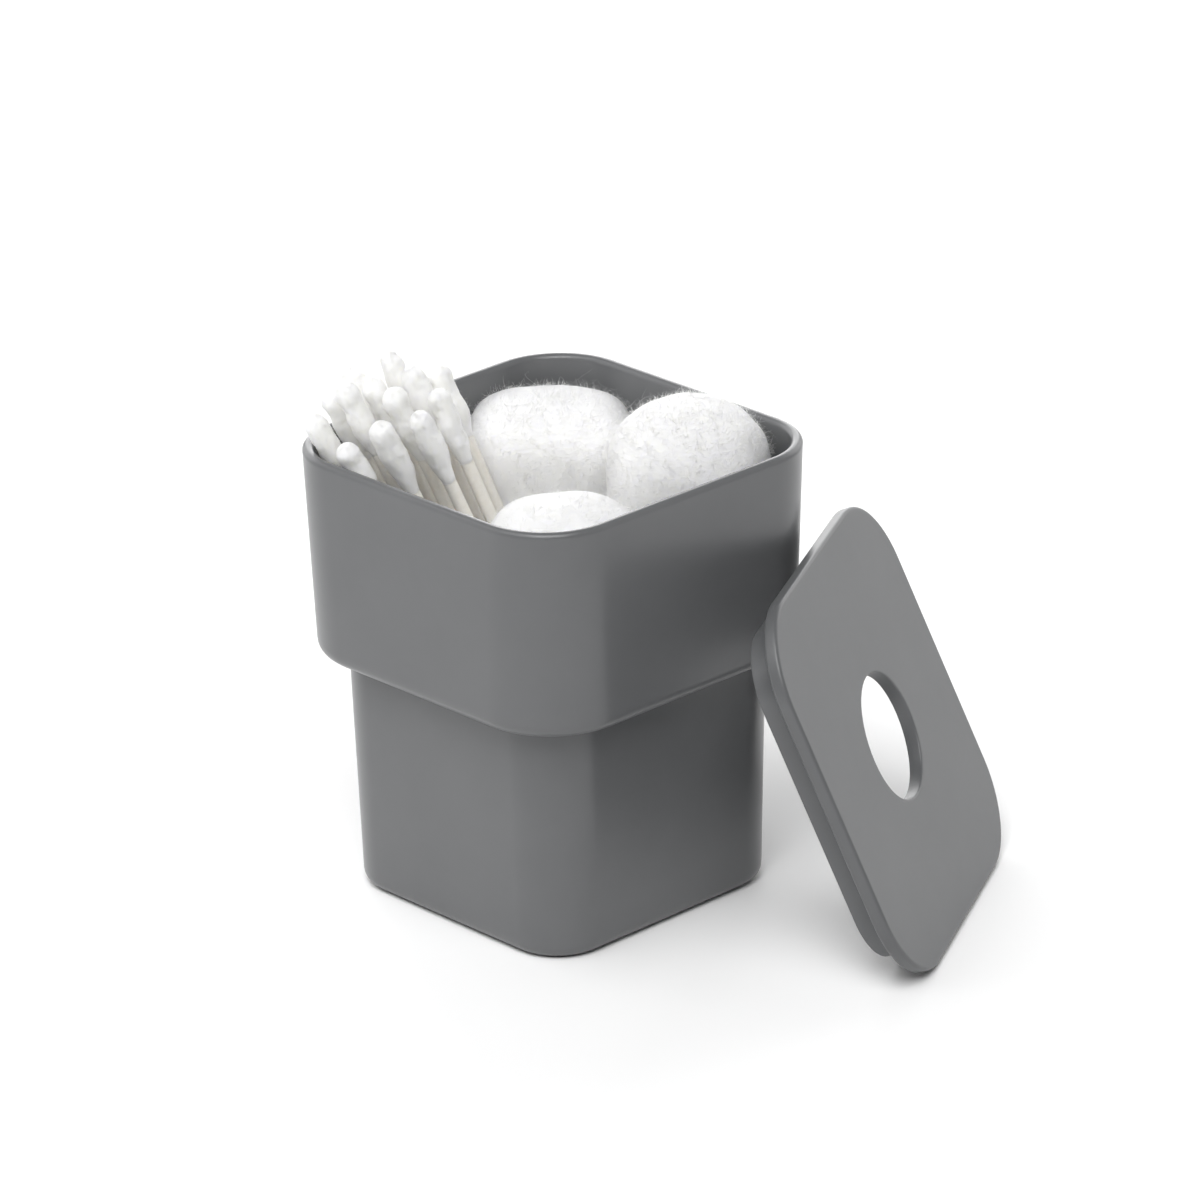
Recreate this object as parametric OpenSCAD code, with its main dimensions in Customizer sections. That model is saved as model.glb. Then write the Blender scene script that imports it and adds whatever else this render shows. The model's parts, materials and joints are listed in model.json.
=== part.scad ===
// Bathroom canister: a two-tier rounded-square tub moulded in one piece, filled with
// cotton balls and cotton swabs, and its flat lid with a finger hole, taken off and
// leaning on the tub's corner. Millimetres, +Z up, origin at the middle of the base on
// the surface it stands on. The tub's corner nearest the lid is the +X +Y one.

/* [Tub] */
// Outer width across the rim
rim_w = 79; // [74:0.5:92]
// Radius of the rim's four corners, seen from above
rim_r = 16.2; // [12:0.1:20]
// Height of the tub
tub_h = 94; // [83:0.1:109]
// Height of the shoulder where the lower tier steps out into the upper one
shoulder_h = 50.4; // [43:0.1:57]
// Outer width of the upper tier at the shoulder
shoulder_w = 77.4; // [73:0.1:84]
// Radius of the four corners at the shoulder
shoulder_r = 17.6; // [13:0.1:21]
// Outer width of the lower tier under the shoulder
neck_w = 65.9; // [61:0.1:71]
// Outer width across the base
base_w = 63; // [57:0.1:67]
// Radius of the base's four corners, seen from above
base_r = 11.3; // [7:0.1:16]
// Thickness of the moulded wall
wall = 2.4; // [1.8:0.1:3]
// Thickness of the floor
floor_t = 2.6; // [1.8:0.1:3.6]
// Rounding under the shoulder
shoulder_round = 3; // [0.5:0.1:3.2]
// Rounding of the base edge
base_round = 2.9; // [0.5:0.1:3.4]
// Fillet round the inner floor
floor_fillet = 2.6; // [1:0.1:4]

/* [Lid] */
// Width of the lid plate
lid_w = 79.9; // [72:0.1:86]
// Radius of the plate's corners
lid_r = 17; // [11:0.1:22]
// Thickness of the plate
lid_t = 2.9; // [2:0.1:4.4]
// Rounding of the plate's edges
lid_round = 0.7; // [0.2:0.1:0.9]
// How far the locating ring stands in from the plate's edge
ring_inset = 4.8; // [3:0.1:7]
// Depth of the locating ring below the plate
ring_h = 5.3; // [3:0.1:8]
// Wall thickness of the locating ring
ring_t = 1.9; // [1.2:0.1:2.6]
// Diameter of the finger hole
hole_d = 26; // [18:0.5:32]
// Angle between the leaning lid and the surface
lid_lean = 67.2; // [60:0.1:74]
// Heading of the edge the lid stands on, counted from +X
lid_heading = 119.5; // [115:0.5:135]
// Shift of the lid along the edge it stands on
lid_shift = 0.7; // [-7:0.1:7]

/* [Swabs] */
// Length of a swab from tip to tip
swab_l = 75; // [72:0.5:78]
// Diameter of a cotton bud
bud_d = 5.4; // [4.6:0.1:5.7]
// Length of a cotton bud
bud_l = 17; // [13:0.5:19]
// Diameter of the paper stick
stick_d = 2.7; // [2:0.1:3]
// How far the stick reaches into each bud
stick_grip = 10; // [7:0.5:11]
// Distance of the bunch's middle from the tub's wall, at the height of the rim
bunch_margin = 14.9; // [14.6:0.1:18]
// Heading the bunch leans to, counted from +X
bunch_heading = 223.5; // [218:0.5:229]
// Distance below the bunch's foot from which its swabs fan out
fan_reach = 165; // [145:1:240]

/* [Cotton] */
// Diameter of a loose cotton ball
cotton_d = 32; // [29:0.5:33]
// Height of a loose cotton ball
cotton_h = 31; // [29:0.5:33]
// Rounding of a loose cotton ball's shoulders
cotton_round = 13; // [11:0.5:14]
// Height of the four balls pressed together on the floor
bed_h = 17; // [17:0.5:21]
// Rounding of those four balls
bed_round = 8; // [6:0.5:8.5]
// Diameter of the ball in the hollow of those four, which the swabs stand on
heart_d = 22; // [18:0.5:22.4]
// Diameter of the squashed balls that carry the loose ones
prop_d = 25; // [22:0.2:25.2]
// Height of the middle of the back-left loose ball
back_left_z = 76.9; // [74:0.1:79]
// Height of the middle of the back-right loose ball
back_right_z = 85.7; // [83:0.1:88]
// How far the back-right loose ball lies off the tub's side wall
back_right_slack = 3.7; // [0:0.1:6]
// Height of the middle of the front loose ball
front_z = 76.3; // [74:0.1:80]
// How far the front loose ball lies off the tub's front wall
front_slack = 6; // [0:0.5:7]

/* [Fits] */
// Clearance between things that only rest on or against each other
rest_gap = 0.2; // [0.15:0.05:0.3]
// Clearance between neighbouring swabs at their feet
bunch_gap = 0.2; // [0.2:0.05:0.5]

/* [Hidden] */

grey = "#7D7F80";
cotton = "#F7F6F2";
paper = "#F1ECE1";
corner_steps = 10;   // segments in one rounded corner seen from above
edge_steps = 4;      // segments in one rounded edge
e = 0.01;

// The bunch is packed like a honeycomb, in four rows one behind the other. Each place is
// across the row, the row (both in swab widths) and how far that swab is drawn up, in mm.
row_step = sqrt(3) / 2;
front_row = -1.5 * row_step;
mid_front_row = -0.5 * row_step;
mid_back_row = 0.5 * row_step;
back_row = 1.5 * row_step;
bunch = [
    [-1, front_row, 0], [0, front_row, 0], [1, front_row, 0],
    [-1.5, mid_front_row, 5.6], [-0.5, mid_front_row, 6.4],
    [0.5, mid_front_row, 1.4], [1.5, mid_front_row, 0],
    [-1, mid_back_row, 4.9], [0, mid_back_row, 2.8], [1, mid_back_row, 2.8],
    [-0.5, back_row, 6.2], [0.5, back_row, 6.1], [1.5, back_row, 2.2]
];

// One ring of a rounded square of half width a and corner radius r, at height z
function ring_at(z, a, r) = [for (q = [0:3], k = [0:corner_steps])
    let (t = 90 * q + 90 * k / corner_steps, s = 45 + 90 * q)
    [(a - r) * sign(cos(s)) + r * cos(t), (a - r) * sign(sin(s)) + r * sin(t), z]];

// Skins a stack of rings given as [z, a, r], and caps both ends
module loft(stack) {
    m = 4 * (corner_steps + 1);
    n = len(stack);
    points = [for (s = stack) each ring_at(s[0], s[1], s[2])];
    sides = [for (i = [0:n - 2], j = [0:m - 1])
        [i * m + j, (i + 1) * m + j, (i + 1) * m + (j + 1) % m, i * m + (j + 1) % m]];
    polyhedron(points, concat([[for (j = [0:m - 1]) j]], sides,
        [[for (j = [m - 1:-1:0]) (n - 1) * m + j]]));
}

// Quarter round from angle t0 to t1 about a profile point [z, a]; the ring keeps c = a - r
function arc_rings(z, a, c, rad, t0, t1) = [for (k = [0:edge_steps])
    let (t = t0 + (t1 - t0) * k / edge_steps, h = a + rad * cos(t)) [z + rad * sin(t), h, h - c]];

// Tub. The lower tier keeps its corner centres at one place and only grows in radius. In the
// upper tier the corners also tighten a little from the shoulder up to the rim.
rim_c = rim_w / 2 - rim_r;
shoulder_c = shoulder_w / 2 - shoulder_r;
base_c = base_w / 2 - base_r;
upper_draft = (rim_w - shoulder_w) / 2 / (tub_h - shoulder_h);
lower_draft = (neck_w - base_w) / 2 / shoulder_h;
lip = wall / 2 - e;
upper_turn = (rim_c - shoulder_c) / (tub_h - shoulder_h);
function outer_a(z) = z < shoulder_h ? base_w / 2 + lower_draft * z
    : shoulder_w / 2 + upper_draft * (z - shoulder_h);
function inner_a(z) = (z < shoulder_h + wall ? min(outer_a(min(z, shoulder_h - e)), neck_w / 2)
    : outer_a(z)) - wall;
function corner_c(z) = z < shoulder_h ? base_c : shoulder_c + upper_turn * (z - shoulder_h);
function straight(z, a, c) = [[z, a, a - c]];

module canister_body() {
    ledge = shoulder_h + wall;
    color(grey) loft(concat(
        arc_rings(base_round, outer_a(base_round) - base_round, base_c, base_round, -90, 0),
        straight(shoulder_h, neck_w / 2, base_c),
        arc_rings(shoulder_h + shoulder_round, outer_a(shoulder_h + shoulder_round) - shoulder_round,
            corner_c(shoulder_h + shoulder_round), shoulder_round, -90, 0),
        arc_rings(tub_h - lip, rim_w / 2 - lip, rim_c, lip, 0, 90),
        arc_rings(tub_h - lip, rim_w / 2 - wall + lip, rim_c, lip, 90, 180),
        straight(ledge, inner_a(ledge + e), corner_c(ledge)),
        straight(ledge - e, neck_w / 2 - wall, base_c),
        arc_rings(floor_t + floor_fillet, inner_a(floor_t) - floor_fillet, base_c, floor_fillet, 0, -90)));
}

// Lid. It is modelled flat, plate top at z = 0, then stood on the edge of its plate and
// leaned until its locating ring meets the tub's corner.
plate_a = lid_w / 2;
plate_c = plate_a - lid_r;
ring_a = plate_a - ring_inset;
lid_under = lid_t + ring_h;
// height of the plate's middle when the plate's lower edge just touches the surface
lid_z = (plate_a - lid_round) * sin(lid_lean) + (lid_t - lid_round) * cos(lid_lean) + lid_round;
// height at which the ring's upper outer edge meets the tub, and the tub's corner there
touch_z = lid_z + ring_a * sin(lid_lean) - lid_under * cos(lid_lean);
touch_c = corner_c(touch_z);
touch_r = outer_a(touch_z) - touch_c;
away = lid_heading - 90;
lid_reach = touch_c * (cos(away) + sin(away)) + touch_r + rest_gap
    + ring_a * cos(lid_lean) + lid_under * sin(lid_lean);

module lid_flat() {
    difference() {
        loft(concat(
            straight(-lid_t, ring_a - ring_t, plate_c),
            straight(-lid_under, ring_a - ring_t + 0.3, plate_c),
            straight(-lid_under, ring_a, plate_c),
            straight(-lid_t, ring_a, plate_c),
            arc_rings(-lid_t + lid_round, plate_a - lid_round, plate_c, lid_round, -90, 0),
            arc_rings(-lid_round, plate_a - lid_round, plate_c, lid_round, 0, 90)));
        translate([0, 0, -lid_t - 1]) cylinder(d = hole_d, h = lid_t + 2, $fn = 96);
    }
}

module lid() {
    color(grey)
        translate([lid_reach * cos(away) + lid_shift * cos(lid_heading),
            lid_reach * sin(away) + lid_shift * sin(lid_heading), lid_z])
            rotate([lid_lean, 0, lid_heading]) lid_flat();
}

// A cotton ball pressed into a barrel: width d, height h, rounding r, standing at the origin
module barrel(d, h, r) {
    color(cotton) rotate_extrude($fn = 48) intersection() {
        union() {
            translate([0, 0]) square([d / 2 - r, h]);
            translate([0, r]) square([d / 2, h - 2 * r]);
            for (z = [r, h - r]) translate([d / 2 - r, z]) circle(r = r, $fn = 48);
        }
        square([d / 2 + 1, h]);
    }
}

// Four balls pressed together on the floor of the lower tier
bed_z = floor_t + rest_gap;
bed_d = inner_a(floor_t + bed_h / 2) - 1.5 * rest_gap;
bed_xy = (bed_d + rest_gap) / 2;
bed_top = bed_z + bed_h;
module cotton_bed(n) {
    translate([bed_xy * (n % 2 == 0 ? 1 : -1), bed_xy * (n > 2 ? 1 : -1), bed_z])
        barrel(bed_d, bed_h, bed_round);
}

// The ball in the hollow between those four, touching the rounding of each
heart_z = bed_top - bed_round + sqrt(pow(heart_d / 2 + bed_round + rest_gap, 2)
    - pow(bed_xy * sqrt(2) - (bed_d / 2 - bed_round), 2));
module cotton_heart() {
    color(cotton) translate([0, 0, heart_z]) sphere(d = heart_d, $fn = 48);
}

// Squashed balls in three corners of the lower tier, two high, each pair up to the loose
// ball that it carries
prop_xy = inner_a(bed_top) - prop_d / 2 - rest_gap;
function side_x(side) = side == "back_left" ? -1 : 1;
function side_y(side) = side == "front" ? -1 : 1;
function side_z(side) = side == "back_left" ? back_left_z : side == "front" ? front_z : back_right_z;
module cotton_prop(side, n) {
    h = (side_z(side) - cotton_h / 2 - bed_top - 3 * rest_gap) / 2;
    translate([side_x(side) * prop_xy, side_y(side) * prop_xy, bed_top + rest_gap + (n - 1) * (h + rest_gap)])
        barrel(prop_d, h, min(9, h / 2 - 0.5));
}

// Loose balls in the mouth, each against the two walls of its corner
module cotton_ball(side) {
    z = side_z(side);
    c = corner_c(z - cotton_h / 2 + cotton_round);
    spare = inner_a(z - cotton_h / 2 + cotton_round) - c - cotton_d / 2 - rest_gap;
    xy = c + (spare > 0 ? spare / sqrt(2) : spare);
    slack_x = side == "back_right" ? back_right_slack : 0;
    slack_y = side == "front" ? front_slack : 0;
    translate([side_x(side) * xy - slack_x, side_y(side) * xy + slack_y, z - cotton_h / 2])
        barrel(cotton_d, cotton_h, cotton_round);
}

// Swab places. The bunch leans so far that its middle keeps its distance from the wall at
// the rim. Each swab lies on a line from a point far below the bunch's foot, so the
// swabs spread evenly upward, and slides down it until it stands on the ball below.
bunch_out = (inner_a(tub_h) - bunch_margin) / max(abs(cos(bunch_heading)), abs(sin(bunch_heading)));
bunch_lean = atan(bunch_out / (tub_h - heart_z));
bunch_axis = [sin(bunch_lean) * cos(bunch_heading), sin(bunch_lean) * sin(bunch_heading), cos(bunch_lean)];
bunch_across = unit(cross([0.69, 0.72, 0], bunch_axis));
bunch_deep = cross(bunch_axis, bunch_across);
stand_off = heart_d / 2 + bud_d / 2 + rest_gap;
heart_at = [0, 0, heart_z];
fan_from = heart_at + bunch_axis * (stand_off - fan_reach);
function unit(v) = v / norm(v);
function swab_dir(p) = unit(bunch_axis * fan_reach
    + (bunch_deep * p[0] - bunch_across * p[1]) * (bud_d + bunch_gap));
// distance along line p from the fan's point to where the bud's end meets the ball
function swab_foot(p) = let (to = heart_at - fan_from, d = swab_dir(p), along = to * d)
    along + sqrt(max(0, stand_off * stand_off - (to * to - along * along))) + p[2];

module place_swab(n) {
    p = bunch[n - 1];
    d = swab_dir(p);
    translate(fan_from + d * (swab_foot(p) - bud_d / 2))
        rotate([0, acos(d[2]), atan2(d[1], d[0])]) children();
}

// A bud wound round the end of its stick: domed tip, full belly, tapering on to the stick
module bud() {
    r = bud_d / 2;
    rotate_extrude($fn = 32) difference() {
        union() {
            intersection() {
                translate([0, r]) circle(r = r, $fn = 48);
                square([r, r]);
            }
            translate([0, r]) square([r, bud_l - 3 * r]);
            polygon([[0, bud_l - 2 * r], [r, bud_l - 2 * r], [stick_d / 2 + 0.4, bud_l], [0, bud_l]]);
        }
        translate([-e, bud_l - stick_grip]) square([stick_d / 2 + e, stick_grip + 1]);
    }
}

module swab_buds(n) {
    color(cotton) place_swab(n) {
        bud();
        translate([0, 0, swab_l]) mirror([0, 0, 1]) bud();
    }
}

module swab_stick(n) {
    color(paper) place_swab(n)
        translate([0, 0, bud_l - stick_grip])
            cylinder(d = stick_d, h = swab_l - 2 * (bud_l - stick_grip), $fn = 32);
}

canister_body();
lid();
for (n = [1:4]) cotton_bed(n);
cotton_heart();
for (side = ["back_left", "back_right", "front"]) {
    for (n = [1:2]) cotton_prop(side, n);
    cotton_ball(side);
}
for (n = [1:13]) swab_stick(n);
for (n = [1:13]) swab_buds(n);
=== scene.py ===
# %% [markdown]
# A bathroom canister with its lid off. The tub is one grey plastic moulding in two tiers,
# full of cotton balls and cotton swabs, and the flat lid with its finger hole leans on the
# tub's corner. The scene could be built by eye, but then nothing would ever fit the solid
# model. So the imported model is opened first. It is the frame: it says where every piece
# stands, and each visible surface below is laid over it in the same place.

# %% Open the frame
import json
import bpy
import numpy as np
from mathutils import Matrix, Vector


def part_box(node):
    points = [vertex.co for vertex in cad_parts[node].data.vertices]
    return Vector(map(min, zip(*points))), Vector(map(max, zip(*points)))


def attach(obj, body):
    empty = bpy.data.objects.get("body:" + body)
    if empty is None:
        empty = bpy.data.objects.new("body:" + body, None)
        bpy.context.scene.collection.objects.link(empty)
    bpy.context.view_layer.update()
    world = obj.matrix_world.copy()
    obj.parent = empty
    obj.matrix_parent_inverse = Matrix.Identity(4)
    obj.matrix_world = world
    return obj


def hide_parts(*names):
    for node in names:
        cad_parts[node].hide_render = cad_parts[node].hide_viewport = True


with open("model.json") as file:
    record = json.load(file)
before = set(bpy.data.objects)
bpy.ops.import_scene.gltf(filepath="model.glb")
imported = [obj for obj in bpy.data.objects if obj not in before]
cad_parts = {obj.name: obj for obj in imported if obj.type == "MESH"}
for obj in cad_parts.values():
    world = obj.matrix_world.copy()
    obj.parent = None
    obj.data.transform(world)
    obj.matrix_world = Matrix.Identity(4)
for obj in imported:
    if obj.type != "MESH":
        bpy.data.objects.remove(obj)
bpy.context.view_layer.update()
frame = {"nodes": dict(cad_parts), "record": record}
MM = 0.001                       # sizes are given in millimetres, Blender works in metres

# %% [markdown]
# The camera stands where the photographer's stood: far away with a long lens, a little
# above the canister and almost square to one of its corners. It could be dragged into place
# and aimed with a constraint. Here its place is worked out from the heading and height it
# looks from, and its own axes from a pitch, a turn and a roll, because the photograph's
# edges were matched to about a pixel and that takes figures.

# %% Place the camera
aim = np.array([0.0, 0.0, 43.45])      # the point that heading and height are measured from
heading, height = np.radians([47.028, 23.358])
distance = 1438.2                      # millimetres
pitch, turn, roll = np.radians([22.759, 46.652, -1.26])
photo_size = 1200                      # pixels across the photograph
focal_pixels = 7236.5                  # the focal length, counted in those pixels


def looking(azimuth, elevation):
    """Unit vector from the object to a camera: the sine and the cosine of the azimuth in plan,
    shortened by the cosine of the elevation, and its sine upward."""
    plan = np.cos(elevation)
    return np.array([np.sin(azimuth) * plan, -np.cos(azimuth) * plan, np.sin(elevation)])


def placed(axes, place):
    """Matrix whose columns are three unit axes and a place in metres."""
    turned = np.stack(axes, 1).tolist()
    return Matrix([[*row, p] for row, p in zip(turned, np.asarray(place).tolist())] + [[0, 0, 0, 1]])


eye = aim + distance * looking(heading, height)
back = looking(turn, pitch)
right = np.array([np.cos(turn), np.sin(turn), 0.0])
up = np.cross(back, right)
right, up = right * np.cos(roll) + up * np.sin(roll), up * np.cos(roll) - right * np.sin(roll)
lens = bpy.data.cameras.new("photo_lens")
lens.sensor_width = 36.0
lens.lens = focal_pixels * lens.sensor_width / photo_size
lens.clip_start, lens.clip_end = 0.05, 50.0
camera = bpy.data.objects.new("photo_camera", lens)
camera.matrix_world = placed([right, up, back], eye * MM)
bpy.context.scene.collection.objects.link(camera)
bpy.context.scene.camera = camera
print("camera at", np.round(eye, 1).tolist(), "mm, lens", round(lens.lens, 1), "mm")

# %% [markdown]
# A moulding can be made by extruding and bevelling, or by a subdivided cage. Every new
# piece here is a grid of points that is worked out at once and skinned with four-cornered
# faces, because then each size in the mesh is a size of the object. One helper numbers the
# faces, and another makes the mesh, gives it its material and hangs it on the body.

# %% Grids and pieces


def grid_faces(rows, columns, wrap_rows=False, flip=False):
    """Corners of each cell of a grid whose rows are closed rings: point (i, j) joins (i, j+1),
    (i+1, j+1) and (i+1, j), counted row by row."""
    row = np.arange(rows if wrap_rows else rows - 1)
    i, j = np.meshgrid(row, np.arange(columns), indexing="ij")
    i2, j2 = (i + 1) % rows, (j + 1) % columns
    corners = [i * columns + j, i * columns + j2, i2 * columns + j2, i2 * columns + j]
    cells = np.stack(corners, -1).reshape(-1, 4)
    return cells[:, ::-1] if flip else cells


def fan_faces(ring, centre, flip=False):
    """Triangles from one centre point to each pair of neighbours on a closed ring."""
    fans = np.stack([ring, np.roll(ring, -1), np.full(len(ring), centre)], -1)
    return fans[:, ::-1] if flip else fans


def make_piece(name, points, faces, material, nodes):
    """Makes a smooth mesh from points in millimetres and lists of faces, in place of the given nodes."""
    mesh = bpy.data.meshes.new(name)
    places = np.asarray(points).reshape(-1, 3) * MM
    mesh.from_pydata(places.tolist(), [], [face for part in faces for face in part.tolist()])
    mesh.polygons.foreach_set("use_smooth", np.ones(len(mesh.polygons), dtype=bool))
    mesh.materials.append(material)
    mesh.validate()
    mesh.update()
    piece = bpy.data.objects.new(name, mesh)
    bpy.context.scene.collection.objects.link(piece)
    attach(piece, "root")
    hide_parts(*nodes)
    return piece

# %% [markdown]
# The tub and lid are satin grey plastic. The real surface is very finely mottled, a little
# rougher in some places than in others, and its edges catch a paler, cooler light. A
# painted picture would do, but it needs unwrapping and shows its pixels close up. Noise on
# the piece's own coordinates varies colour and gloss, and stays sharp at any distance.

# %% Plastic


def new_material(name):
    """A material with its nodes on and nothing in it but the shader and the output."""
    material = bpy.data.materials.new(name)
    material.use_nodes = True
    tree = material.node_tree
    return material, tree, tree.nodes["Principled BSDF"]


def add_noise(tree, scale, detail, roughness=0.55):
    """Noise over the piece's own coordinates, so that the pattern stays with the piece."""
    place = tree.nodes.new("ShaderNodeTexCoord")
    noise = tree.nodes.new("ShaderNodeTexNoise")
    noise.inputs["Scale"].default_value = scale
    noise.inputs["Detail"].default_value = detail
    noise.inputs["Roughness"].default_value = roughness
    tree.links.new(place.outputs["Object"], noise.inputs["Vector"])
    return noise


def ramp_between(tree, source, low, high, start=0.3, end=0.7):
    """Colour ramp from low to high over the part of the noise between start and end."""
    ramp = tree.nodes.new("ShaderNodeValToRGB")
    ramp.color_ramp.elements[0].position, ramp.color_ramp.elements[1].position = start, end
    ramp.color_ramp.elements[0].color, ramp.color_ramp.elements[1].color = (*low, 1.0), (*high, 1.0)
    tree.links.new(source, ramp.inputs["Fac"])
    return ramp


def add_bump(tree, shader, source, strength, distance_mm):
    """Bump from a height that runs from nought to one over the given number of millimetres."""
    bump = tree.nodes.new("ShaderNodeBump")
    bump.inputs["Strength"].default_value = strength
    bump.inputs["Distance"].default_value = distance_mm * MM
    tree.links.new(source, bump.inputs["Height"])
    tree.links.new(bump.outputs["Normal"], shader.inputs["Normal"])


def grey_plastic(name, dark, light, roughness):
    """Satin moulded plastic: mottled colour, mottled gloss and a faint fine texture."""
    material, tree, shader = new_material(name)
    cloud = add_noise(tree, 45.0, 4.0)
    tint = ramp_between(tree, cloud.outputs["Fac"], dark, light)
    tree.links.new(tint.outputs["Color"], shader.inputs["Base Color"])
    grain = add_noise(tree, 2600.0, 2.0)
    gloss = ramp_between(tree, grain.outputs["Fac"], (roughness - 0.01,) * 3, (roughness + 0.015,) * 3)
    tree.links.new(gloss.outputs["Color"], shader.inputs["Roughness"])
    shader.inputs["IOR"].default_value = 1.5
    add_bump(tree, shader, grain.outputs["Fac"], 0.03, 0.04)
    return material


tub_grey = grey_plastic("tub_plastic_grey", (0.128, 0.131, 0.135), (0.140, 0.143, 0.147), 0.30)
# The lid's grey is the tub's plastic painted about a tenth darker: painted shade for its upturned face,
# which the panels light more strongly
lid_shaded_grey = grey_plastic("lid_plastic_painted_shade", (0.116, 0.119, 0.123), (0.127, 0.130, 0.134), 0.34)
print("plastics made")

# %% [markdown]
# The tub's plan is a square with round corners at every height. A bevelled cube has such
# corners too, but of one radius, and here the radius changes on the way up. Seen from above a
# point on such a ring is a corner centre plus the corner radius along the outward direction, and
# that holds on the straight sides too, where the corner centre slides from one to the next.
# So a ring needs only a half width and a corner radius, and the whole tub is one stack of
# rings: out under the base, up both tiers, over the lip and down the inside.

# %% Rounded-square rings
CORNER_STEPS, SIDE_STEPS = 20, 7


def ring_pattern():
    """Corner-centre sign and outward direction of each point round one ring, as two arrays of pairs."""
    angle = np.linspace(0, np.pi / 2, CORNER_STEPS + 1)
    slide = np.linspace(1, -1, SIDE_STEPS + 2)[1:-1]
    centres, outward = [], []
    for turn_by in np.arange(4) * np.pi / 2:
        diagonal, next_side = turn_by + np.pi / 4, turn_by + np.pi / 2
        corner = np.sign([np.cos(diagonal), np.sin(diagonal)])
        facing = np.array([np.cos(next_side), np.sin(next_side)])
        along = np.array([-np.sin(next_side), np.cos(next_side)])
        centres.append(np.tile(corner, (CORNER_STEPS + 1, 1)))
        outward.append(np.stack([np.cos(angle + turn_by), np.sin(angle + turn_by)], 1))
        centres.append(facing + along * -slide[:, None])
        outward.append(np.tile(facing, (SIDE_STEPS, 1)))
    return np.concatenate(centres), np.concatenate(outward)


CENTRES, OUTWARD = ring_pattern()
RING = len(CENTRES)


def ring_stack(profile):
    """Rings for a profile of rows (z, half width, corner radius): the corner's sign times
    (half width - radius), plus the outward direction times the radius."""
    z, a, r = np.asarray(profile, float).T[:, :, None, None]
    plan = (a - r) * CENTRES + r * OUTWARD
    return np.concatenate([plan, np.broadcast_to(z, plan.shape[:2] + (1,))], -1)


def line_rings(start, end, steps):
    """Rows of a profile spaced evenly from one (z, a, r) to another, both ends included."""
    return np.linspace(start, end, steps)


def arc_rings(z, a, c, radius, first, last, steps=7):
    """Turn of a profile: z plus radius times sine, half width a plus radius times cosine, and a
    corner radius of half width minus c."""
    t = np.radians(np.linspace(first, last, steps))
    half = a + radius * np.cos(t)
    return np.stack([z + radius * np.sin(t), half, half - c], -1)


print("points on one ring:", RING)

# %% [markdown]
# The tub is a thin shell with draft on both tiers, so that it leaves its mould. The lip is
# a full half round, the shoulder turns under with a small radius, and the base edge is
# softened. A solid could be hollowed with a modifier, but the wall, the inner ledge and the
# fillet at the floor are easier to get right as one profile. Its sizes are those of the
# model's source.

# %% Shape the tub
rim_w, rim_r, tub_h, wall = 79.0, 16.2, 94.0, 2.4
shoulder_w, shoulder_r, shoulder_h = 77.4, 17.6, 50.4
neck_w, base_w, base_r = 65.9, 63.0, 11.3
floor_t, shoulder_round, base_round, floor_fillet = 2.6, 3.0, 2.9, 2.6
rim_c, shoulder_c, base_c = rim_w / 2 - rim_r, shoulder_w / 2 - shoulder_r, base_w / 2 - base_r
lip = wall / 2
# Rings that stand this close to a bend keep the shading of the flat beside it true
hold_neck, hold_lip, hold_ledge, hold_wall, hold_floor = 0.25, 0.3, 0.4, 0.5, 0.6
middle_a, middle_r = 2, 1                      # the smallest ring, round a face's middle


def outer_half(z):
    """Outer half width at a height: straight lines from base to neck and from shoulder to rim."""
    lower = base_w / 2 + (neck_w - base_w) / 2 * z / shoulder_h
    upper = shoulder_w / 2 + (rim_w - shoulder_w) / 2 * (z - shoulder_h) / (tub_h - shoulder_h)
    return np.where(z < shoulder_h, lower, upper)


def corner_centre(z):
    """How far out the corner centres lie: fixed in the lower tier, sliding outward up the upper one."""
    up_the_tier = (z - shoulder_h) / (tub_h - shoulder_h)
    return np.where(z < shoulder_h, base_c, shoulder_c + (rim_c - shoulder_c) * up_the_tier)


def wall_rings(z0, z1, inset, steps):
    """Rings down or up a drafted wall, at a distance in from the outside."""
    z = np.linspace(z0, z1, steps)
    half = outer_half(z) - inset
    return np.stack([z, half, half - corner_centre(z)], -1)


foot = float(outer_half(base_round)) - base_round
under = float(outer_half(shoulder_h + shoulder_round)) - shoulder_round
inner_foot = float(outer_half(floor_t)) - wall - floor_fillet
turn_c = float(corner_centre(shoulder_h + shoulder_round))
ledge = shoulder_h + wall
ledge_half, ledge_c = float(outer_half(ledge)) - wall, float(corner_centre(ledge))
tub_profile = np.concatenate([
    line_rings((0, middle_a, middle_r), (0, foot - hold_floor, foot - hold_floor - base_c), 5),
    arc_rings(base_round, foot, base_c, base_round, -90, 0),
    wall_rings(base_round + hold_wall, shoulder_h - hold_wall, 0, 12),
    [(shoulder_h, neck_w / 2, neck_w / 2 - base_c)],
    line_rings((shoulder_h, neck_w / 2 + hold_neck, neck_w / 2 + hold_neck - base_c),
               (shoulder_h, under - hold_ledge, under - hold_ledge - turn_c), 4),
    arc_rings(shoulder_h + shoulder_round, under, turn_c, shoulder_round, -90, 0),
    wall_rings(shoulder_h + shoulder_round + hold_wall, tub_h - lip - hold_lip, 0, 12),
    arc_rings(tub_h - lip, rim_w / 2 - lip, rim_c, lip, 0, 180, 15),
    wall_rings(tub_h - lip - hold_lip, ledge + hold_ledge, wall, 10),
    [(ledge, ledge_half, ledge_half - ledge_c)],
    [(ledge, neck_w / 2 - wall, neck_w / 2 - wall - base_c)],
    wall_rings(shoulder_h - hold_lip, floor_t + floor_fillet + hold_ledge, wall, 10),
    arc_rings(floor_t + floor_fillet, inner_foot, base_c, floor_fillet, 0, -90),
    line_rings((floor_t, inner_foot - hold_floor, inner_foot - hold_floor - base_c),
               (floor_t, middle_a, middle_r), 5),
])
tub_points = ring_stack(tub_profile)
rows = len(tub_profile)
under_centre, floor_centre = rows * RING, rows * RING + 1
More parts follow.
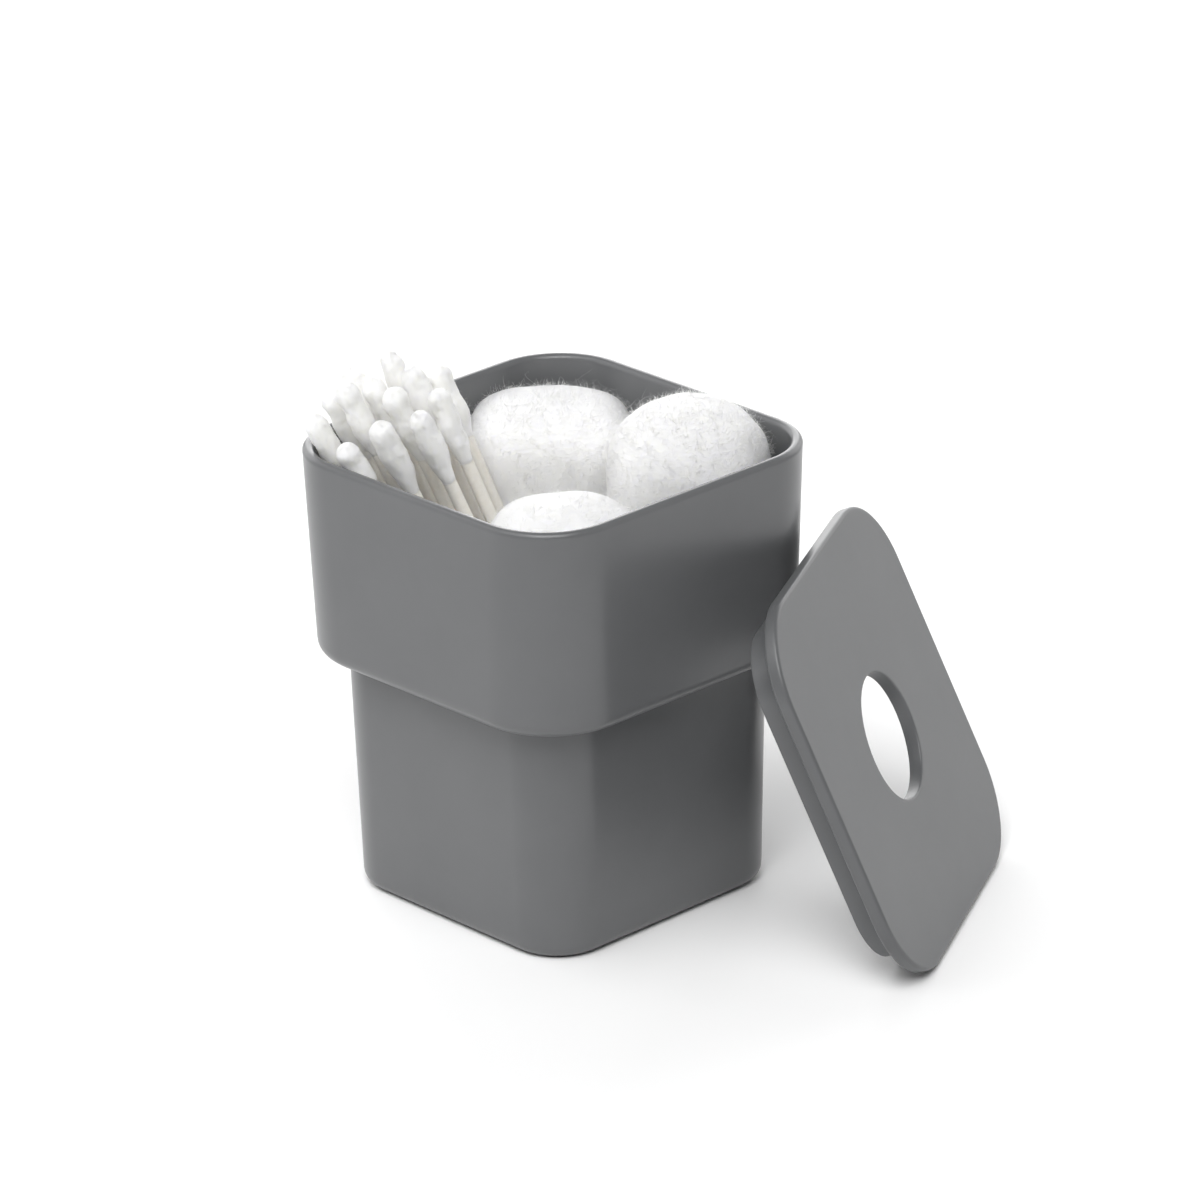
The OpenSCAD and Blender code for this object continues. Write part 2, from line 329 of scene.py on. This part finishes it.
first_ring, last_ring = np.arange(RING), np.arange(RING) + (rows - 1) * RING
tub = make_piece("canister_shell",
                 np.concatenate([tub_points.reshape(-1, 3), [[0, 0, 0], [0, 0, floor_t]]]),
                 [grid_faces(rows, RING), fan_faces(first_ring, under_centre, flip=True),
                  fan_faces(last_ring, floor_centre)],
                 tub_grey, ["canister_body"])
print("tub:", rows, "rings,", len(tub.data.polygons), "faces")

# %% [markdown]
# The lid is a thin rounded-square plate with a round finger hole, and a locating ring
# under it. The hole could be cut with a boolean, which leaves long slivers that shade badly.
# Instead its section is one closed loop carried round the plate: up the hole, out over the
# face, round the edge, in underneath, and down and up the ring. Rings near the hole blend
# from a circle to the rounded square, so the flat face has even cells.

# %% Shape the lid
lid_w, lid_r, lid_t, lid_round = 79.9, 17.0, 2.9, 0.7
ring_inset, ring_h, ring_t, hole_d = 4.8, 5.3, 1.9, 26.0
lid_heading = np.radians(119.5)
plate_a, plate_c = lid_w / 2, lid_w / 2 - lid_r
ring_a, lid_under = lid_w / 2 - ring_inset, lid_t + ring_h
ring_in = ring_a - ring_t
edge = 0.35                                   # softening of the small edges


def square_rings(pairs, c):
    """Rings of half width a at height z for rows (z, a), with the corner centres at c."""
    pairs = np.asarray(pairs, float)
    return ring_stack(np.stack([pairs[:, 0], pairs[:, 1], pairs[:, 1] - c], -1))


def face_rings(z, shares):
    """Rings of a flat face: each lies a share of the way from the hole's edge to the plate's,
    along the same rays."""
    outer = square_rings([(z, plate_a - lid_round - hold_lip)], plate_c)[0]
    angle = np.arctan2(outer[:, 1], outer[:, 0])
    hole = np.stack([np.cos(angle), np.sin(angle)], -1) * (hole_d / 2 + edge)
    shares = np.asarray(shares)[:, None, None]
    plan = hole * (1 - shares) + outer[:, :2] * shares
    return np.concatenate([plan, np.full(plan.shape[:2] + (1,), z)], -1)


def hole_rings(pairs):
    """Rings of a circle for rows (z, radius), on the same rays as the face."""
    outer = square_rings([(0, plate_a - lid_round - hold_lip)], plate_c)[0]
    angle = np.arctan2(outer[:, 1], outer[:, 0])
    pairs = np.asarray(pairs, float)
    plan = pairs[:, 1, None, None] * np.stack([np.cos(angle), np.sin(angle)], -1)
    return np.concatenate([plan, np.broadcast_to(pairs[:, 0, None, None], plan.shape[:2] + (1,))], -1)


def quarter(z, a, radius, first_angle, last_angle, steps=6):
    """Rows (z, a) of a quarter round about a profile point."""
    t = np.radians(np.linspace(first_angle, last_angle, steps))
    return np.stack([z + radius * np.sin(t), a + radius * np.cos(t)], -1)


lid_points = np.concatenate([
    hole_rings(quarter(-lid_t + edge, hole_d / 2 + edge, edge, 270, 180)),
    hole_rings([(-lid_t / 2, hole_d / 2)]),
    hole_rings(quarter(-edge, hole_d / 2 + edge, edge, 180, 90)),
    face_rings(0.0, [0.02, 0.3, 0.65, 1.0]),
    square_rings(quarter(-lid_round, plate_a - lid_round, lid_round, 90, 0), plate_c),
    square_rings(quarter(-lid_t + lid_round, plate_a - lid_round, lid_round, 0, -90), plate_c),
    square_rings([(-lid_t, ring_a + hold_lip), (-lid_t, ring_a), (-lid_t - hold_lip, ring_a)], plate_c),
    square_rings(quarter(-lid_under + edge, ring_a - edge, edge, 0, -90), plate_c),
    square_rings(quarter(-lid_under + edge, ring_in + edge, edge, -90, -180), plate_c),
    square_rings([(-lid_t - hold_lip, ring_in), (-lid_t, ring_in), (-lid_t, ring_in - hold_lip)], plate_c),
    face_rings(-lid_t, [0.6, 0.3, 0.02]),
])

# %% [markdown]
# The lid stands on one edge and leans back on the tub. It could be turned as an object,
# but a finished piece keeps its place in its mesh, so its points are carried over instead.
# The finger hole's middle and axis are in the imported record, as a mount. The lid's own axes
# follow: one runs level along the edge it stands on, and the other up its slope.

# %% Stand the lid against the tub
hole_mount = [m for m in frame["record"]["mounts"] if m["name"] == "finger_hole"][0]
face = np.array(hole_mount["axis"])
level = np.array([np.cos(lid_heading), np.sin(lid_heading), 0.0])
slope = np.cross(face, level)
plate_middle = np.array(hole_mount["pos_m"]) / MM + face * lid_t / 2
along_level, along_slope, along_face = (lid_points[..., n:n + 1] for n in range(3))
lid_placed = plate_middle + along_level * level + along_slope * slope + along_face * face
lid_faces = grid_faces(len(lid_points), RING, wrap_rows=True, flip=True)
lid = make_piece("lid_plate", lid_placed, [lid_faces], lid_shaded_grey, ["lid"])
print("lid:", len(lid.data.polygons), "faces, lowest at", round(float(lid_placed[..., 2].min()), 2), "mm")

# %% [markdown]
# Cotton wool has no hard surface. A hair system would draw it, but it isn't part of the
# mesh. So it is a soft lumpy skin with a mat of fine fibres standing off
# it. The lumps are sums of many gentle waves that run in random directions, which never
# repeat and need no picture. The fibres are thin three-sided tubes that start inside the
# skin and curl outward. Light passes deep into the skin, which lifts its shaded side.

# %% Lumps and fibres


def waves(points, length, count, seed):
    """Sum of sines that cross the points in random directions, with about the given
    wavelength in millimetres, divided by the root of their number."""
    rng = np.random.default_rng(seed)
    way = rng.normal(size=(3, count))
    way /= np.linalg.norm(way, axis=0)
    stretch = 2 * np.pi / (length * rng.uniform(0.7, 1.4, count))
    return np.sin(points @ (way * stretch) + rng.uniform(0, 2 * np.pi, count)).sum(-1) / np.sqrt(count)


def unit(vectors):
    """The same directions with length one."""
    return vectors / np.linalg.norm(vectors, axis=-1, keepdims=True)


def fibre_tubes(roots, outward, length, thickness, curl, seed, steps=4):
    """Points, side faces and end faces of curled fibres. Each runs out along its own
    direction, bends sideways with the square of the way along, swings a little as a sine,
    and thins to its tip."""
    rng = np.random.default_rng(seed)
    n = len(roots)
    share = np.linspace(0, 1, steps)[None, :, None]
    size = (length * rng.uniform(0.3, 1.0, n) ** 1.5)[:, None, None]
    side = unit(np.cross(outward, rng.normal(size=(n, 3))))
    other = np.cross(outward, side)
    bend = curl * rng.uniform(0.2, 1.6, n)[:, None, None]
    swing = 0.25 * curl * rng.normal(size=(n, 1, 1)) * np.sin(share * np.pi * 1.6)
    along = share * outward[:, None] * (1 - 0.5 * bend * share)
    path = roots[:, None] + size * (along + bend * share ** 2 * side[:, None] + swing * other[:, None])
    around = np.arange(3) * 2 * np.pi / 3
    radius = thickness / 2 * (1 - 0.7 * share[..., None])
    ring = side[:, None, None] * np.cos(around)[:, None] + other[:, None, None] * np.sin(around)[:, None]
    points = path[:, :, None] + radius * ring
    start = (np.arange(n) * steps * 3)[:, None, None]
    sides = grid_faces(steps, 3) + start
    ends = np.stack([start[:, 0] + [2, 1, 0], start[:, 0] + (steps - 1) * 3 + [0, 1, 2]], 1)
    return points.reshape(-1, 3), sides.reshape(-1, 4), ends.reshape(-1, 3)


LIGHT_DEPTH = (0.008, 0.008, 0.0074)    # metres of cotton that red, green and blue light pass


def cotton_material(name, colour, depth, bump_mm):
    """Matt fluff: nearly white, with light passing through it and a soft tangle of ridges."""
    material, tree, shader = new_material(name)
    cloud = add_noise(tree, 160.0, 5.0)
    pale = tuple(min(1.0, c * 1.03) for c in colour)
    tint = ramp_between(tree, cloud.outputs["Fac"], colour, pale, 0.35, 0.65)
    tree.links.new(tint.outputs["Color"], shader.inputs["Base Color"])
    shader.inputs["Roughness"].default_value = 1.0
    shader.inputs["Specular IOR Level"].default_value = 0.0
    shader.inputs["Subsurface Weight"].default_value = 1.0
    shader.inputs["Subsurface Radius"].default_value = LIGHT_DEPTH
    shader.inputs["Subsurface Scale"].default_value = depth
    tangle = add_noise(tree, 420.0, 6.0, 0.6)
    add_bump(tree, shader, tangle.outputs["Fac"], 0.06, bump_mm)
    return material


def fibre_material(name, colour):
    """Single fibres: plain matt white, since nothing so thin has depth for light to pass through."""
    material, _, shader = new_material(name)
    shader.inputs["Base Color"].default_value = (*colour, 1.0)
    shader.inputs["Roughness"].default_value = 1.0
    shader.inputs["Specular IOR Level"].default_value = 0.0
    return material


def two_materials(piece, skin_faces, second):
    """Gives every face after the first skin_faces the second material."""
    piece.data.materials.append(second)
    which = (np.arange(len(piece.data.polygons)) >= skin_faces).astype(np.int32)
    piece.data.polygons.foreach_set("material_index", which)


ball_cotton = cotton_material("cotton_wool", (0.955, 0.953, 0.943), 1.0, 0.3)
bud_cotton = cotton_material("wound_cotton", (0.925, 0.918, 0.893), 0.3, 0.12)
loose_fibre = fibre_material("loose_fibre", (0.96, 0.96, 0.95))

# %% [markdown]
# Soft balls that share a tight tub press flat against its wall and against each other. A
# cloth or soft-body run would find those flats, but fluff that hardly gives needs only the
# result. So a point that is past the wall is moved back to it, and a point that is past the
# flat face halfway to a neighbour is moved back onto that face.

# %% Press soft skins into the tub
WALL_ROOM = 0.25                # clear space between cotton and plastic


def press_into_tub(points):
    """Moves points that are beyond the inner wall back to it: along the ray from the nearest
    corner centre in the corners, and straight back at the sides."""
    inside = points[:, 2] < tub_h
    x, y, z = points[inside].T
    half = outer_half(z) - wall - WALL_ROOM
    centre = np.minimum(corner_centre(z), half - 0.5)
    u, v = np.abs(x), np.abs(y)
    over_u, over_v = np.maximum(u - centre, 0), np.maximum(v - centre, 0)
    far = np.maximum(np.hypot(over_u, over_v), 1e-9)
    keep = np.minimum(1, (half - centre) / far)
    u = np.where(over_u > 0, centre + over_u * keep, u)
    v = np.where(over_v > 0, centre + over_v * keep, v)
    pressed = points.copy()
    pressed[inside, 0], pressed[inside, 1] = np.copysign(u, x), np.copysign(v, y)
    return pressed


def press_apart(points, middle, others, gap=0.1):
    """Moves points that are past the flat face halfway to a neighbour back onto that face."""
    for other in others:
        toward = unit(other - middle)
        past = (points - (middle + other) / 2) @ toward + gap
        points = points - np.maximum(past, 0)[:, None] * toward
    return points


def node_box(node):
    """Middle and half sizes of a solid's box, in millimetres."""
    low, high = (np.array(corner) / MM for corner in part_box(node))
    return (low + high) / 2, (high - low) / 2


loose = ["cotton_ball_back_left", "cotton_ball_back_right", "cotton_ball_front"]
loose_middles = {node: node_box(node)[0] for node in loose}
print("loose balls at", {node[12:]: np.round(place, 1).tolist() for node, place in loose_middles.items()})

# %% [markdown]
# A cotton ball is a strip of fleece rolled up and pressed into a bag, so it isn't a ball but
# a little boxy. A sphere could be sculpted. Here its plan and its side are superellipses,
# turned about the upright as it happens to lie, because one number then goes from round to
# boxy. Each takes its middle and size from the solid it stands for. The three in the mouth
# are seen, so they have the most points and the fuzz, and are puffed out a little. The rest
# are there for anyone who looks in.

# %% Make the cotton balls
FINE, MIDDLING, COARSE = (130, 200), (50, 80), (40, 64)    # rows and columns of points on a ball
SKIN_GAP = 0.3                  # the mean skin lies this far inside the solid, for the lumps
# Height, wavelength, number of waves and upright squeeze of each size of lump
LUMPS = [(0.36, 17, 7, 1.0), (0.10, 8, 12, 1.6), (0.025, 3, 20, 2.5)]
LUMP_LIMIT = 0.8                # no lump stands further out than this
ROOT_DEPTH = 0.3                # fibres start this far under the skin
# Length, thickness, spread, curl and points along a fibre, in millimetres where it is a size
FUZZ, WISPS = (2.3, 0.055, 0.45, 0.8, 4), (6.0, 0.045, 0.4, 1.4, 8)


def squarish(way, half, power, turned):
    """Distance from the middle to a boxy round surface along each direction: the sum of the
    three coordinates' shares, each to the power, is one."""
    cos, sin = np.cos(turned), np.sin(turned)
    x, y = way[:, 0] * cos + way[:, 1] * sin, way[:, 1] * cos - way[:, 0] * sin
    shares = np.abs(np.stack([x, y, way[:, 2]], 1)) / half
    return (shares ** power).sum(1) ** (-1 / power)


def ball_piece(name, node, seed, rows, columns, fuzz=0, wisps=0, *, power, turned=0.0,
               grow=(0.0, 0.0, 0.0), move=(0.0, 0.0, 0.0)):
    """A ball: the boxy round surface of its solid's box, with lumps of three sizes, pressed
    by its neighbours, and with short fuzz and a few long wisps."""
    middle, half = node_box(node)
    middle, half = middle + move, half + grow
    polar = np.linspace(0, np.pi, rows + 2)[1:-1, None]
    azimuth = np.linspace(0, 2 * np.pi, columns, endpoint=False)[None]
    flat = np.sin(polar)
    sphere = np.broadcast_arrays(flat * np.cos(azimuth), flat * np.sin(azimuth), np.cos(polar))
    way = np.concatenate([np.stack(sphere, -1).reshape(-1, 3), [[0, 0, 1], [0, 0, -1]]])
    reach = squarish(way, half, power, turned)
    place = way * reach[:, None]
    lumps = sum(height * waves(place * (1, 1, squeeze), length, count, seed + n)
                for n, (height, length, count, squeeze) in enumerate(LUMPS))
    skin = middle + way * (reach - SKIN_GAP + np.minimum(lumps, LUMP_LIMIT))[:, None]
    if node in loose:
        others = [there for other, there in loose_middles.items() if other != node]
        skin = press_apart(skin, middle, others)
    skin = press_into_tub(skin)
    count = rows * columns
    top, bottom = np.arange(columns), np.arange(columns) + (rows - 1) * columns
    faces = [grid_faces(rows, columns), fan_faces(top, count, flip=True), fan_faces(bottom, count + 1)]
    skin_faces = sum(len(part) for part in faces)
    points = [skin]
    rng = np.random.default_rng(seed + 5)
    upper = np.flatnonzero(way[:, 2] > -0.3)
    chance = np.concatenate([np.repeat(flat[:, 0], columns), [0, 0]])[upper]
    total = len(skin)
    for amount, (length, thick, spread, curl, steps) in ((fuzz, FUZZ), (wisps, WISPS)):
        if not amount:
            continue
        pick = rng.choice(upper, amount, p=chance / chance.sum())
        lean = unit(way[pick] + spread * rng.normal(size=(amount, 3)))
        lean = np.where((lean * way[pick]).sum(1)[:, None] < 0, -lean, lean)
        tubes, sides, ends = fibre_tubes(skin[pick] - way[pick] * ROOT_DEPTH, lean, length, thick, curl,
                                         seed + 6 + steps, steps)
        points.append(press_into_tub(tubes))
        faces += [sides + total, ends + total]
        total += len(tubes)
    piece = make_piece(name, np.concatenate(points), faces, ball_cotton, [node])
    two_materials(piece, skin_faces, loose_fibre)


ball_piece("fluff_back_left", loose[0], 11, *FINE, fuzz=6500, wisps=260, power=3.5,
           turned=np.radians(46), grow=(1.1, 0.6, -0.5), move=(-0.7, -1.5, -0.2))
ball_piece("fluff_back_right", loose[1], 23, *FINE, fuzz=5500, wisps=110, power=2.3,
           turned=np.radians(30), grow=(0.1, 0.1, 0.0))
ball_piece("fluff_front", loose[2], 37, *FINE, fuzz=4000, wisps=60, power=2.15,
           turned=np.radians(46), grow=(2.2, 0.5, 0.2), move=(-0.9, -0.9, 0.0))
hidden = ["cotton_bed_%d" % n for n in range(1, 5)]
hidden += ["cotton_prop_%s_%d" % (node[12:], n) for node in loose for n in (1, 2)]
for number, node in enumerate(hidden):
    ball_piece("fluff_under_%d" % (number + 1), node, 50 + 7 * number, *COARSE, power=3.2)
ball_piece("fluff_heart", "cotton_heart", 191, *MIDDLING, power=2.0)
print("cotton balls:", 3 + len(hidden) + 1)

# %% [markdown]
# A swab is a stick of rolled paper with cotton wound on each end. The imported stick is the
# right shape and stays, with a paper finish. The line it lies on is read from its own
# points: their middle, and the direction in which they spread most. A bud could be a
# squeezed sphere, but cotton wound on a stick has a profile of its own, so it is a turned
# form along that line: a round tip, a full belly with a slight waist, and a long taper that
# ends on the paper. Soft ridges of winding and a fuzz of short fibres cover it, and each
# bud's waist and fullness differ, as wound cotton does.

# %% Make the swabs
bud_d, bud_l, stick_grip, stick_d = 5.4, 17.0, 10.0, 2.7
dome_l, taper_from = 2.9, 9.5                  # the round tip's length, and where the taper starts
waist_at, waist_l = 5.2, 1.6                   # the shallow waist's middle and its half length
sunk = 0.05                                    # the taper ends this far inside the paper's surface
tip_out = 0.05                                 # the tip's own point stands this far past its ring
fade_l, fade_tip = 5, 0.8                      # lumps fade over these lengths, at stick and tip
deepest, highest = -0.4, 0.22                  # limits of the lumps
SWABS, HAIRS, HAIR_L, HAIR_D = 13, 320, 1.4, 0.055
HAIRY = 0.8                                    # share of the bud, from its tip, that has hairs
BUD_LUMPS = [(0.20, 7, 8), (0.07, 2.6, 14), (0.02, 1.0, 16)]    # height, wavelength and number
RIDGE_H, RIDGE_TURN = 0.02, 4.2                # height of the winding, and its radians per mm


def stick_line(node):
    """Middle, upward direction and half length of a stick, from the spread of its points."""
    mesh = frame["nodes"][node].data
    points = np.empty(len(mesh.vertices) * 3)
    mesh.vertices.foreach_get("co", points)
    points = points.reshape(-1, 3) / MM
    middle = (points.min(0) + points.max(0)) / 2
    direction = np.linalg.svd(points - middle, full_matrices=False)[2][0]
    direction *= np.sign(direction[2])
    return middle, direction, np.abs((points - middle) @ direction).max()


def bud_radius(along, belly, waist):
    """Radius at a distance from the tip: a quarter ellipse, a belly with a shallow waist at
    its middle, then a cosine down to the stick."""
    dome = belly * np.sqrt(np.clip(1 - (1 - np.clip(along / dome_l, 0, 1)) ** 2, 0, 1))
    fall = np.clip((along - taper_from) / (bud_l - taper_from), 0, 1)
    thin = stick_d / 2 - sunk
    taper = thin + (belly - thin) * (0.5 + 0.5 * np.cos(np.pi * fall))
    pinch = waist * np.exp(-((along - waist_at) / waist_l) ** 2)
    return np.minimum(dome, taper) - pinch


def bud_points(tip, inward, seed, rows=54, columns=40):
    """Skin and fibres of one bud whose tip is at a point and which runs inward along a direction."""
    rng = np.random.default_rng(seed + 4)
    side = unit(np.cross(inward, [0.3, 0.5, 0.81]))
    other = np.cross(inward, side)
    along = bud_l * (1 - np.cos(np.linspace(0.07, np.pi / 2, rows))) ** 0.8
    angle = np.linspace(0, 2 * np.pi, columns, endpoint=False)
    spoke = np.tile(side * np.cos(angle)[:, None] + other * np.sin(angle)[:, None], (rows, 1))
    radius = bud_radius(along, bud_d / 2 - rng.uniform(0.05, 0.4), rng.uniform(0.0, 0.22))
    shape = np.repeat(radius, columns)[:, None] * spoke + inward * np.repeat(along, columns)[:, None]
    winding = np.sin(np.tile(angle, rows) + np.repeat(along, columns) * RIDGE_TURN + seed)
    soft = RIDGE_H * winding
    for n, (height, length, number) in enumerate(BUD_LUMPS):
        soft = soft + height * waves(shape, length, number, seed + n)
    fade = np.repeat(np.clip((bud_l - along) / fade_l, 0, 1) * np.clip(along / fade_tip, 0, 1), columns)
    grown = tip + shape + spoke * (np.clip(soft, deepest, highest) * fade)[:, None]
    points = np.concatenate([grown, [tip + inward * (along[0] - tip_out)], [tip + inward * bud_l]])
    count = rows * columns
    top, bottom = np.arange(columns), np.arange(columns) + (rows - 1) * columns
    faces = [grid_faces(rows, columns), fan_faces(top, count, flip=True), fan_faces(bottom, count + 1)]
    pick = rng.integers(0, int(count * HAIRY), HAIRS)
    lean = unit(spoke[pick] - inward * np.clip(1.5 - np.repeat(along, columns)[pick], 0, 1)[:, None]
                + 0.8 * rng.normal(size=(HAIRS, 3)))
    roots = grown[pick] - spoke[pick] * ROOT_DEPTH / 2
    tubes, sides, ends = fibre_tubes(roots, lean, HAIR_L, HAIR_D, 1.0, seed + 5)
    return np.concatenate([points, tubes]), faces + [sides + len(points), ends + len(points)]


def paper_material():
    """Rolled paper: warm white, dull, with a faint fleck."""
    material, tree, shader = new_material("rolled_paper")
    fleck = add_noise(tree, 900.0, 5.0)
    cream = ramp_between(tree, fleck.outputs["Fac"], (0.80, 0.775, 0.72), (0.86, 0.84, 0.79))
    tree.links.new(cream.outputs["Color"], shader.inputs["Base Color"])
    shader.inputs["Roughness"].default_value = 0.8
    shader.inputs["Specular IOR Level"].default_value = 0.2
    shader.inputs["Subsurface Weight"].default_value = 0.3
    shader.inputs["Subsurface Radius"].default_value = (0.001, 0.0009, 0.0007)
    shader.inputs["Subsurface Scale"].default_value = 1.0
    add_bump(tree, shader, fleck.outputs["Fac"], 0.3, 0.05)
    return material


rolled_paper = paper_material()
for number in range(1, SWABS + 1):
    stick = frame["nodes"]["swab_%d_stick" % number]
    stick.data.materials.clear()
    stick.data.materials.append(rolled_paper)
    middle, direction, half = stick_line("swab_%d_stick" % number)
    reach = half + bud_l - stick_grip
    head, head_faces = bud_points(middle + direction * reach, -direction, 200 + 20 * number)
    tail, tail_faces = bud_points(middle - direction * reach, direction, 210 + 20 * number)
    buds = make_piece("cotton_buds_%d" % number, np.concatenate([head, tail]),
                      head_faces + [part + len(head) for part in tail_faces],
                      bud_cotton, ["swab_%d_buds" % number])
print("swabs:", SWABS, "points in the last pair of buds:", len(buds.data.vertices))

# %% [markdown]
# The photograph was lit by broad soft light, and its shadows are faint. One bright sky would
# be simplest, but it flattens the tub, whose right side is clearly the darkest. So the
# studio is a plain pale floor and eight square soft panels, all the same size and the same
# distance away, with their powers matched to the tones of the photograph. The strongest
# stands high over the camera and its helpers stand at the left. Low panels behind and beside
# the canister whiten the floor and draw a thin bright line along the rim.

# %% Floor and light
FLOOR_REACH = 4.0                              # metres each way
floor_mesh = bpy.data.meshes.new("studio_floor")
floor_corners = [(FLOOR_REACH * x, FLOOR_REACH * y, 0) for x, y in ((-1, -1), (1, -1), (1, 1), (-1, 1))]
floor_mesh.from_pydata(floor_corners, [], [(0, 1, 2, 3)])
floor_white, _, shader = new_material("floor_white")
shader.inputs["Base Color"].default_value = (0.98, 0.98, 0.98, 1)
shader.inputs["Roughness"].default_value = 0.7
shader.inputs["Specular IOR Level"].default_value = 0.2
floor_mesh.materials.append(floor_white)
studio_floor = bpy.data.objects.new("studio_floor", floor_mesh)
bpy.context.scene.collection.objects.link(studio_floor)

PANEL_SIZE, PANEL_AWAY = 0.9, 1.3              # metres
PANEL_AIM = 0.05                               # metres above the floor, about the tub's middle


def soft_panel(name, round_from_camera, rise, watts):
    """A square soft light that faces the object, at an angle to the right of the camera's
    heading and an angle above the floor."""
    lamp = bpy.data.lights.new(name, "AREA")
    lamp.shape, lamp.size, lamp.energy = "SQUARE", PANEL_SIZE, watts
    away = looking(heading + np.radians(round_from_camera), np.radians(rise))
    across = unit(np.array([-away[1], away[0], 0.0]))
    place = away * PANEL_AWAY + [0, 0, PANEL_AIM]
    panel = bpy.data.objects.new(name, lamp)
    panel.matrix_world = placed([across, np.cross(away, across), away], place)
    bpy.context.scene.collection.objects.link(panel)


HIGH, LOW = 55, 20                             # degrees above the floor
PANELS = [("front_panel", 0, HIGH, 12.8), ("left_panel", -45, HIGH, 3.7),
          ("side_panel", -90, HIGH, 2.5), ("low_left_panel", -90, LOW, 2.1),
          ("low_right_panel", 90, LOW, 1.1), ("back_panel", 180, LOW, 8.8),
          ("back_right_panel", 135, LOW, 5.6), ("back_left_panel", -135, LOW, 5.6)]
for name, turned_by, rise, watts in PANELS:
    soft_panel(name, turned_by, rise, watts)
room = bpy.data.worlds.new("room")
room.use_nodes = True
room.node_tree.nodes["Background"].inputs["Color"].default_value = (1, 1, 1, 1)
room.node_tree.nodes["Background"].inputs["Strength"].default_value = 0.02
bpy.context.scene.world = room
bpy.context.scene.view_settings.view_transform = "Standard"
print("lights:", len(bpy.data.lights))
